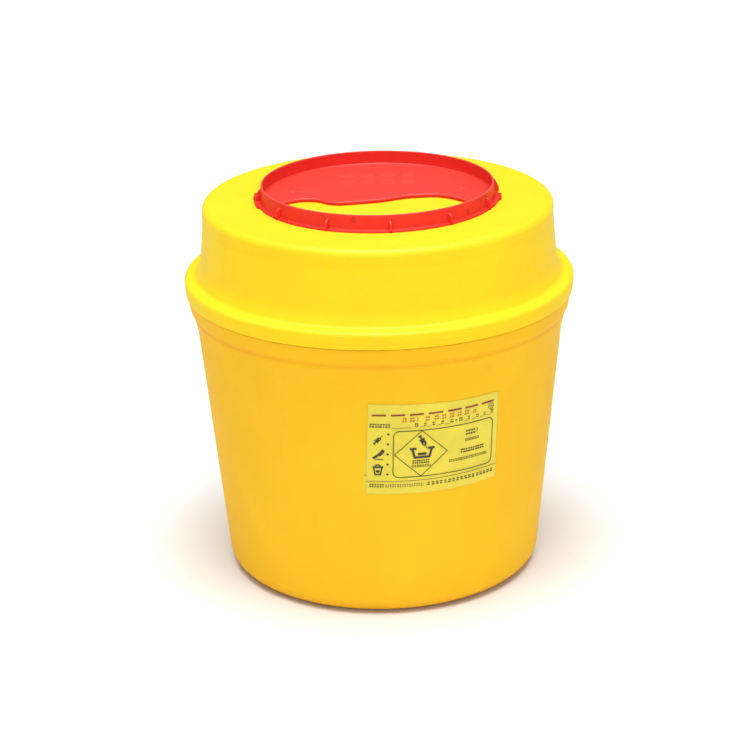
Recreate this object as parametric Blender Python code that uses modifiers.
"""A round sharps container: a tapered bucket, a deep press-fit lid, a rotating closure and two stickers.

The bucket stands on Z = 0 with its axis on Z, and the sticker side faces -Y. All sizes are in metres.
The closure is drawn shut: its solid half covers the fill aperture in the lid's well.
Run it with: blender --background --python part.py
"""

import math

import bmesh
import bpy
from mathutils import Matrix, Vector

# Driving dimensions
RIM_RADIUS = 0.110  # widest point of the object, on the lid's rim
SEAM_Z = 0.1640  # underside of the lid's skirt
TOP_PLATE_Z = 0.2152  # flat top of the lid
CLOSURE_TOP_Z = 0.2246  # top edge of the closure's ring
WALL = 0.0018  # moulded wall thickness
GAP = 0.0003  # clearance between pieces that touch
RUN_GAP = 0.0004  # clearance round the closure, which turns
TURN_STEPS = 64  # facets round every turned piece
ARC_STEPS = 5  # facets across a fillet
EDGE_BREAK = 0.0003  # chamfer on moulded edges

# Bucket
BASE_FILLET = 0.010
BASE_RADIUS = 0.08935  # where the outer wall's slant would meet Z = 0
WALL_SLANT = 0.0992  # radius gained per unit of height
FLARE_Z = 0.1426  # the wall turns outwards here
BAND_Z = 0.1536  # crease under the band that carries the lid
BAND_LOW_RADIUS = 0.1070
BAND_HIGH_RADIUS = 0.1087
CREASE = 0.0004  # softening at the crease and at the foot of the flare
FOOT_INNER_RADIUS = 0.0710  # the foot ring lies between this and the base fillet
FOOT_HEIGHT = 0.0016
NECK_RADIUS = 0.1066
NECK_BORE = 0.1050
NECK_TOP_Z = 0.1722
NECK_BEAD = 0.0006

# Lid
SKIRT_RADIUS = 0.1095
SKIRT_BORE = 0.1080
SKIRT_BEAD = 0.0006
RIM_TOP_Z = 0.1744
RIM_ROUND = 0.0028
RIM_FILLET = 0.0014
SKIRT_BEND_Z = 0.1680  # the skirt draws in a little below this
CEILING_Z = NECK_TOP_Z + GAP
PLUG_RADIUS = NECK_BORE - GAP
PLUG_DEPTH = 0.0060
COLLAR_LOW_RADIUS = 0.1010
COLLAR_MID_RADIUS = 0.0996
COLLAR_MID_Z = 0.1914
COLLAR_TOP_RADIUS = 0.0985
COLLAR_TOP_Z = 0.2050
SHOULDER = 0.0040
SHOULDER_CENTRE = (COLLAR_TOP_RADIUS - SHOULDER, TOP_PLATE_Z - SHOULDER)
LIP_RADIUS = 0.0666  # the lip holds the closure down
LIP_Z = 0.2134
GROOVE_RADIUS = 0.0679  # the closure's skirt turns in a groove between this and the floor
GROOVE_Z = 0.2088
FLOOR_RADIUS = 0.0638
FLOOR_Z = 0.2146  # top of the raised floor under the closure's disc

# Fill aperture in the raised floor, a rounded half moon behind the axis
APERTURE_RADIUS = 0.0570
APERTURE_FRONT_Y = 0.0110
APERTURE_CORNER = 0.0060

# Closure
DISC_TOP_Z = 0.2168
RING_RADIUS = 0.0652
RING_BORE = 0.0642
FLANGE_RADIUS = 0.0678
FLANGE_TOP_Z = 0.2162
HUB_RADIUS = LIP_RADIUS - RUN_GAP
HOOK_RADIUS = 0.0672
SKIRT_BOTTOM_Z = GROOVE_Z + RUN_GAP
SKIRT_THICKNESS = 0.0014
CUTOUT_RADIUS = 0.0624
# The solid half of the disc ends in a wave, from left to right, mostly just in front of the axis
WAVE = (
    (-0.067, -0.0230),
    (-0.056, -0.0135),
    (-0.047, -0.0072),
    (-0.040, -0.0047),
    (-0.0335, -0.0062),
    (-0.0275, -0.0113),
    (-0.0205, -0.0132),
    (-0.008, -0.0110),
    (0.003, -0.0083),
    (0.012, -0.0040),
    (0.020, -0.0013),
    (0.033, -0.0008),
    (0.041, -0.0050),
    (0.049, -0.0130),
    (0.058, -0.0235),
    (0.066, -0.0330),
)
RIB_COUNT = 12
RIB_TURN = math.radians(5.6)
RIB_RADIUS = 0.0685
RIB_SHOULDER_Z = 0.2208
RIB_TOP_Z = 0.2219
RIB_THICKNESS = 0.0013
FIN_RADIUS = 0.0686
FIN_SHOULDER_Z = 0.2184
FIN_TOP_Z = 0.2228
FIN_THICKNESS = 0.0020
# Finger tabs beside the two fins and a lower lug next to each, as (turn in degrees, radius, half width, top)
TABS = (
    (-5.5, 0.0694, 0.0048, 0.2171),
    (-14.5, 0.0682, 0.0068, 0.2167),
    (177.5, 0.0694, 0.0048, 0.2171),
    (190.0, 0.0691, 0.0062, 0.2167),
)

# Stickers, cut a little out of square, and stuck on so that the middle of their print is here
STICKER_THICKNESS = 0.00015
STICKER_TURN = math.radians(17.0)  # from -Y towards +X
STICKER_Z = 0.1020
LABEL_CORNERS = ((-0.0383, -0.0264), (0.0380, -0.0262), (0.0379, 0.0265), (-0.0383, 0.0284))
LABEL_TILT = math.radians(-0.3)
LABEL_LIFT = 0.0004
UNDER_LABEL_CORNERS = ((-0.0393, -0.0246), (0.0368, -0.0246), (0.0368, 0.0254), (-0.0378, 0.0272))
UNDER_LABEL_TILT = math.radians(-1.4)
UNDER_LABEL_LIFT = 0.00015

# Colours are linear RGB
BUCKET_YELLOW = (0.98, 0.50, 0.025)
LID_YELLOW = (0.98, 0.62, 0.025)
CLOSURE_RED = (0.90, 0.045, 0.03)
PAPER_YELLOW = (0.90, 0.72, 0.10)


def make_material(name, colour, roughness):
    material = bpy.data.materials.new(name)
    material.use_nodes = True
    shader = material.node_tree.nodes["Principled BSDF"]
    shader.inputs["Base Color"].default_value = (*colour, 1.0)
    shader.inputs["Roughness"].default_value = roughness
    shader.inputs["Metallic"].default_value = 0.0
    return material


def new_collection(name):
    collection = bpy.data.collections.new(name)
    bpy.context.scene.collection.children.link(collection)
    return collection


def arc(centre, radius, start, end, steps=ARC_STEPS):
    """Points on an arc in the profile's plane, angles in degrees from the outward direction."""
    points = []
    for i in range(steps + 1):
        angle = math.radians(start + (end - start) * i / steps)
        points.append((centre[0] + radius * math.cos(angle), centre[1] + radius * math.sin(angle)))
    return points


def turned(name, profile, collection, material=None):
    """A solid of revolution from a profile that runs over the top and down its outer side."""
    mesh = bpy.data.meshes.new(name)
    points = [(radius, 0.0, height) for radius, height in profile]
    edges = [(i, i + 1) for i in range(len(points) - 1)]
    mesh.from_pydata(points, edges, [])
    piece = bpy.data.objects.new(name, mesh)
    collection.objects.link(piece)
    if material:
        mesh.materials.append(material)
    screw = piece.modifiers.new("Turn", "SCREW")
    screw.axis = "Z"
    screw.angle = math.tau
    screw.steps = TURN_STEPS
    screw.render_steps = TURN_STEPS
    screw.use_merge_vertices = True
    screw.merge_threshold = 0.00001
    screw.use_smooth_shade = True
    return piece


def plate(name, outline, thickness, collection, placed=Matrix.Identity(4)):
    """A flat plate of any outline, half its thickness either side of the plane it is drawn on."""
    curve = bpy.data.curves.new(name, "CURVE")
    curve.dimensions = "2D"
    curve.fill_mode = "BOTH"
    curve.extrude = thickness / 2
    spline = curve.splines.new("POLY")
    spline.points.add(len(outline) - 1)
    for point, (x, y) in zip(spline.points, outline):
        point.co = (x, y, 0.0, 1.0)
    spline.use_cyclic_u = True
    drawn = bpy.data.objects.new(name + "_outline", curve)
    collection.objects.link(drawn)
    bpy.context.view_layer.update()
    graph = bpy.context.evaluated_depsgraph_get()
    mesh = bpy.data.meshes.new_from_object(drawn.evaluated_get(graph))
    bpy.data.objects.remove(drawn)
    shape = bmesh.new()
    shape.from_mesh(mesh)
    bmesh.ops.remove_doubles(shape, verts=shape.verts, dist=0.000001)
    bmesh.ops.recalc_face_normals(shape, faces=shape.faces)
    shape.to_mesh(mesh)
    shape.free()
    mesh.transform(placed)
    piece = bpy.data.objects.new(name, mesh)
    collection.objects.link(piece)
    return piece


def box(name, low, high, collection, placed=Matrix.Identity(4)):
    shape = bmesh.new()
    middle = (Vector(low) + Vector(high)) / 2
    size = Vector(high) - Vector(low)
    stretched = Matrix.Translation(middle) @ Matrix.Diagonal((*size, 1.0))
    bmesh.ops.create_cube(shape, size=1.0, matrix=placed @ stretched)
    mesh = bpy.data.meshes.new(name)
    shape.to_mesh(mesh)
    shape.free()
    piece = bpy.data.objects.new(name, mesh)
    collection.objects.link(piece)
    return piece


def combine(piece, other, operation):
    """Adds a Boolean modifier, and keeps the other shape out of the render."""
    modifier = piece.modifiers.new(other.name, "BOOLEAN")
    modifier.operation = operation
    modifier.object = other
    modifier.solver = "EXACT"
    other.hide_render = True
    other.display_type = "WIRE"


def wall_radius(height):
    """Outer radius of the bucket's slanted wall."""
    return BASE_RADIUS + WALL_SLANT * height


def bucket_inside(fillet_centre, slant):
    """Inner side of the bucket's profile, from the middle of its floor up to the neck's mouth."""
    inner_flare = (wall_radius(FLARE_Z) - WALL * math.hypot(1.0, WALL_SLANT), FLARE_Z)
    points = [(0.0, FOOT_HEIGHT + WALL), (FOOT_INNER_RADIUS - 2 * FOOT_HEIGHT, FOOT_HEIGHT + WALL)]
    points += [(FOOT_INNER_RADIUS, WALL)]
    points += arc(fillet_centre, BASE_FILLET - WALL, -90, -slant)
    points += [inner_flare, (NECK_BORE, BAND_Z + 2 * WALL), (NECK_BORE, NECK_TOP_Z)]
    return points


def bucket_outside(fillet_centre, slant):
    """Outer side of the bucket's profile, from the neck's mouth down to the middle of its underside."""
    ledge_z = SEAM_Z - GAP
    bead_centre = (NECK_RADIUS, NECK_TOP_Z - 4 * NECK_BEAD)
    points = [(NECK_RADIUS - NECK_BEAD, NECK_TOP_Z), (NECK_RADIUS, NECK_TOP_Z - NECK_BEAD)]
    points += arc(bead_centre, NECK_BEAD, 90, -90, 4)
    points += [(NECK_RADIUS, ledge_z), (BAND_HIGH_RADIUS - CREASE, ledge_z)]
    points += [(BAND_HIGH_RADIUS, ledge_z - CREASE)]
    points += [(BAND_LOW_RADIUS, BAND_Z + CREASE), (BAND_LOW_RADIUS - CREASE, BAND_Z)]
    points += [(BAND_LOW_RADIUS - 1.5 * CREASE, BAND_Z - 2 * CREASE)]
    points += [(wall_radius(FLARE_Z) + CREASE, FLARE_Z + 2 * CREASE)]
    points += [(wall_radius(FLARE_Z - 2 * CREASE), FLARE_Z - 2 * CREASE)]
    points += arc(fillet_centre, BASE_FILLET, -slant, -90)
    points += [(FOOT_INNER_RADIUS, 0.0), (FOOT_INNER_RADIUS - FOOT_HEIGHT, FOOT_HEIGHT), (0.0, FOOT_HEIGHT)]
    return points


def build_bucket(parts, yellow):
    slant = math.degrees(math.atan(WALL_SLANT))
    fillet_centre = (wall_radius(BASE_FILLET) - BASE_FILLET * math.hypot(1.0, WALL_SLANT), BASE_FILLET)
    profile = bucket_inside(fillet_centre, slant) + bucket_outside(fillet_centre, slant)
    return turned("bucket", profile, parts, yellow)


def lid_top():
    """Upper side of the lid's profile, from the middle of the raised floor out to the shoulder."""
    points = [(0.0, FLOOR_Z), (FLOOR_RADIUS - EDGE_BREAK, FLOOR_Z), (FLOOR_RADIUS, FLOOR_Z - EDGE_BREAK)]
    points += [(FLOOR_RADIUS, GROOVE_Z), (GROOVE_RADIUS, GROOVE_Z)]
    points += [(GROOVE_RADIUS, LIP_Z), (LIP_RADIUS, LIP_Z)]
    points += [(LIP_RADIUS, TOP_PLATE_Z - EDGE_BREAK), (LIP_RADIUS + EDGE_BREAK, TOP_PLATE_Z)]
    points += arc(SHOULDER_CENTRE, SHOULDER, 90, 0)
    return points


def lid_outside():
    """Outer side of the lid's profile, from the collar down over the rim to the skirt's lower edge."""
    fillet_z = RIM_TOP_Z + RIM_FILLET
    points = [(COLLAR_TOP_RADIUS, COLLAR_TOP_Z), (COLLAR_MID_RADIUS, COLLAR_MID_Z)]
    points += [(COLLAR_LOW_RADIUS, fillet_z + 0.5 * RIM_FILLET)]
    points += [(COLLAR_LOW_RADIUS + 0.3 * RIM_FILLET, fillet_z - 0.5 * RIM_FILLET)]
    points += [(COLLAR_LOW_RADIUS + RIM_FILLET, RIM_TOP_Z)]
    points += arc((RIM_RADIUS - RIM_ROUND, RIM_TOP_Z - RIM_ROUND), RIM_ROUND, 90, 0)
    points += [(RIM_RADIUS, SKIRT_BEND_Z), (SKIRT_RADIUS, SEAM_Z), (SKIRT_BORE, SEAM_Z)]
    return points


def lid_channel():
    """Underside of the lid's rim: the skirt's snap bead, the channel for the neck and the plug inside it."""
    bead_z = SEAM_Z + 0.0016
    plug_z = CEILING_Z - PLUG_DEPTH
    points = [(SKIRT_BORE, bead_z), (SKIRT_BORE - SKIRT_BEAD, bead_z + SKIRT_BEAD)]
    points += [(SKIRT_BORE - SKIRT_BEAD, bead_z + 2 * SKIRT_BEAD), (SKIRT_BORE, bead_z + 3 * SKIRT_BEAD)]
    points += [(SKIRT_BORE, CEILING_Z), (PLUG_RADIUS, CEILING_Z)]
    points += [(PLUG_RADIUS, plug_z + 2 * EDGE_BREAK), (PLUG_RADIUS - 2 * EDGE_BREAK, plug_z)]
    points += [(PLUG_RADIUS - WALL, plug_z), (PLUG_RADIUS - WALL, CEILING_Z)]
    return points


def lid_inside():
    """Inner side of the lid's profile, from the plug up the collar and round the groove to the middle."""
    points = [(COLLAR_LOW_RADIUS, CEILING_Z), (COLLAR_LOW_RADIUS - WALL, CEILING_Z + WALL)]
    points += [(COLLAR_MID_RADIUS - WALL, COLLAR_MID_Z), (COLLAR_TOP_RADIUS - WALL, COLLAR_TOP_Z)]
    points += arc(SHOULDER_CENTRE, SHOULDER - WALL, 0, 90, 3)
    points += [(GROOVE_RADIUS + WALL, TOP_PLATE_Z - WALL), (GROOVE_RADIUS + WALL, GROOVE_Z - WALL)]
    points += [(FLOOR_RADIUS - WALL, GROOVE_Z - WALL), (FLOOR_RADIUS - WALL, FLOOR_Z - WALL)]
    points += [(0.0, FLOOR_Z - WALL)]
    return points


def half_moon():
    """Outline of the fill aperture: an arc and a straight front edge, with rounded corners between them."""
    corner = APERTURE_CORNER
    reach = APERTURE_RADIUS - corner
    corner_y = APERTURE_FRONT_Y + corner
    corner_x = math.sqrt(reach**2 - corner_y**2)
    lean = math.degrees(math.atan2(corner_y, corner_x))
    outline = arc((corner_x, corner_y), corner, -90, lean)
    outline += arc((0.0, 0.0), APERTURE_RADIUS, lean, 180 - lean, 24)[1:-1]
    outline += arc((-corner_x, corner_y), corner, 180 - lean, 270)
    return outline


def build_lid(parts, helpers, yellow):
    lid = turned("lid", lid_top() + lid_outside() + lid_channel() + lid_inside(), parts, yellow)
    at_floor = Matrix.Translation((0.0, 0.0, FLOOR_Z - WALL / 2))
    aperture = plate("aperture_cutter", half_moon(), 3 * WALL, helpers, at_floor)
    combine(lid, aperture, "DIFFERENCE")
    return lid


def smooth_through(points, steps):
    """A Catmull-Rom curve through the points, with the first and last as its ends."""
    knots = [Vector(p) for p in (points[0], *points, points[-1])]
    curve = []
    for a, b, c, d in zip(knots, knots[1:], knots[2:], knots[3:]):
        for i in range(steps):
            t = i / steps
            straight = 2 * b + (c - a) * t
            bent = (2 * a - 5 * b + 4 * c - d) * t**2 + (3 * b - a - 3 * c + d) * t**3
            curve.append(0.5 * (straight + bent))
    return curve + [knots[-1]]


def cutout_outline():
    """The wave from left to right inside the ring, closed by an arc round the front."""
    wave = [p for p in smooth_through(WAVE, 4) if p.length < CUTOUT_RADIUS]
    start = math.degrees(math.atan2(wave[-1].y, wave[-1].x))
    end = math.degrees(math.atan2(wave[0].y, wave[0].x))
    return [(p.x, p.y) for p in wave] + arc((0.0, 0.0), CUTOUT_RADIUS, start - 1, end + 1, 28)


def closure_profile():
    """Over the disc, the ring and its flange, down the hooked skirt and back under the disc."""
    disc_underside = DISC_TOP_Z - WALL
    flange_low = TOP_PLATE_Z + GAP
    hook_top = LIP_Z - RUN_GAP
    skirt_bore = HUB_RADIUS - SKIRT_THICKNESS
    points = [(0.0, DISC_TOP_Z), (RING_BORE - 2 * EDGE_BREAK, DISC_TOP_Z)]
    points += [(RING_BORE, DISC_TOP_Z + 2 * EDGE_BREAK)]
    points += [(RING_BORE, CLOSURE_TOP_Z - EDGE_BREAK), (RING_BORE + EDGE_BREAK, CLOSURE_TOP_Z)]
    points += [(RING_RADIUS - EDGE_BREAK, CLOSURE_TOP_Z), (RING_RADIUS, CLOSURE_TOP_Z - EDGE_BREAK)]
    points += [(RING_RADIUS + 2 * EDGE_BREAK, FLANGE_TOP_Z + EDGE_BREAK), (FLANGE_RADIUS, FLANGE_TOP_Z)]
    points += [(FLANGE_RADIUS, flange_low)]
    points += [(HUB_RADIUS, flange_low), (HUB_RADIUS, hook_top)]
    points += [(HOOK_RADIUS, hook_top - EDGE_BREAK), (HOOK_RADIUS, hook_top - 3 * EDGE_BREAK)]
    points += [(HUB_RADIUS, SKIRT_BOTTOM_Z), (skirt_bore, SKIRT_BOTTOM_Z)]
    points += [(skirt_bore, disc_underside), (0.0, disc_underside)]
    return points


def gusset(outer_radius, shoulder_z, top_z):
    """Outline of a gusset that stands on the flange against the ring: X is the radius, Y the height."""
    root = RING_RADIUS - 0.0003
    foot_z = FLANGE_TOP_Z - 0.0004
    bend_radius = outer_radius - 0.4 * (outer_radius - RING_RADIUS)
    head_radius = RING_RADIUS + 0.0012
    bend_z = shoulder_z + 0.65 * (top_z - shoulder_z)
    outline = [(root, foot_z), (outer_radius, foot_z), (outer_radius, shoulder_z), (bend_radius, bend_z)]
    return outline + [(head_radius, top_z), (root, top_z + 0.0004)]


def add_gussets(closure, helpers):
    """Gussets round the ring. Two opposite ones are the larger fins beside the finger tabs."""
    for i in range(RIB_COUNT):
        is_fin = i % (RIB_COUNT // 2) == 0
        fin_outline = gusset(FIN_RADIUS, FIN_SHOULDER_Z, FIN_TOP_Z)
        outline = fin_outline if is_fin else gusset(RIB_RADIUS, RIB_SHOULDER_Z, RIB_TOP_Z)
        thickness = FIN_THICKNESS if is_fin else RIB_THICKNESS
        turn = Matrix.Rotation(RIB_TURN + math.tau * i / RIB_COUNT, 4, "Z")
        upright = Matrix.Rotation(math.pi / 2, 4, "X")
        combine(closure, plate(f"gusset_{i}", outline, thickness, helpers, turn @ upright), "UNION")


def add_tabs(closure, helpers):
    """Finger tabs and lugs that stand out of the foot of the ring, on both sides."""
    for i, (turn, radius, half_width, top_z) in enumerate(TABS):
        low = (FLANGE_RADIUS - 0.0014, -half_width, TOP_PLATE_Z + 1.3 * GAP)
        placed = Matrix.Rotation(math.radians(turn), 4, "Z")
        tab = box(f"tab_{i}", low, (radius, half_width, top_z), helpers, placed)
        combine(closure, tab, "UNION")


def build_closure(parts, helpers, red):
    closure = turned("closure", closure_profile(), parts, red)
    at_disc = Matrix.Translation((0.0, 0.0, DISC_TOP_Z - WALL / 2))
    cutout = plate("cutout_cutter", cutout_outline(), 1.6 * WALL, helpers, at_disc)
    combine(closure, cutout, "DIFFERENCE")
    add_gussets(closure, helpers)
    add_tabs(closure, helpers)
    return closure


def bent_round_wall(flat, lift):
    """Where a point of a flat sheet lands on the bucket's wall, which is a cone that unrolls flat."""
    half_angle = math.atan(WALL_SLANT)
    apex_distance = wall_radius(STICKER_Z) / math.sin(half_angle)
    slant = math.hypot(flat.x, apex_distance + flat.y)
    turn = STICKER_TURN + math.atan2(flat.x, apex_distance + flat.y) / math.sin(half_angle)
    radius = slant * math.sin(half_angle) + lift
    height = STICKER_Z + (slant - apex_distance) * math.cos(half_angle)
    return Vector((radius * math.sin(turn), -radius * math.cos(turn), height))


def build_sticker(name, parts, material, corners, tilt, lift):
    """A thin four-cornered sheet on the bucket's wall. The corners run anticlockwise from the lower left."""
    low_left, low_right, high_right, high_left = [Vector(corner) for corner in corners]
    turn = Matrix.Rotation(tilt, 2)
    shape = bmesh.new()
    bmesh.ops.create_grid(shape, x_segments=18, y_segments=3, size=0.5)
    for vertex in shape.verts:
        across = vertex.co.x + 0.5
        low = low_left.lerp(low_right, across)
        high = high_left.lerp(high_right, across)
        vertex.co = bent_round_wall(turn @ low.lerp(high, vertex.co.y + 0.5), lift)
    mesh = bpy.data.meshes.new(name)
    shape.to_mesh(mesh)
    shape.free()
    mesh.materials.append(material)
    mesh.shade_smooth()
    sticker = bpy.data.objects.new(name, mesh)
    parts.objects.link(sticker)
    solidify = sticker.modifiers.new("Thickness", "SOLIDIFY")
    solidify.thickness = STICKER_THICKNESS
    solidify.offset = 1.0
    return sticker


def main():
    for leftover in list(bpy.data.objects):
        bpy.data.objects.remove(leftover)
    parts = new_collection("sharps_container")
    helpers = new_collection("cutters_and_additions")
    bucket_plastic = make_material("bucket_plastic", BUCKET_YELLOW, 0.35)
    lid_plastic = make_material("lid_plastic", LID_YELLOW, 0.32)
    closure_plastic = make_material("closure_plastic", CLOSURE_RED, 0.28)
    sticker_paper = make_material("sticker_paper", PAPER_YELLOW, 0.45)
    build_bucket(parts, bucket_plastic)
    build_lid(parts, helpers, lid_plastic)
    build_closure(parts, helpers, closure_plastic)
    under_corners = UNDER_LABEL_CORNERS
    build_sticker("label_under", parts, sticker_paper, under_corners, UNDER_LABEL_TILT, UNDER_LABEL_LIFT)
    build_sticker("label", parts, sticker_paper, LABEL_CORNERS, LABEL_TILT, LABEL_LIFT)


main()
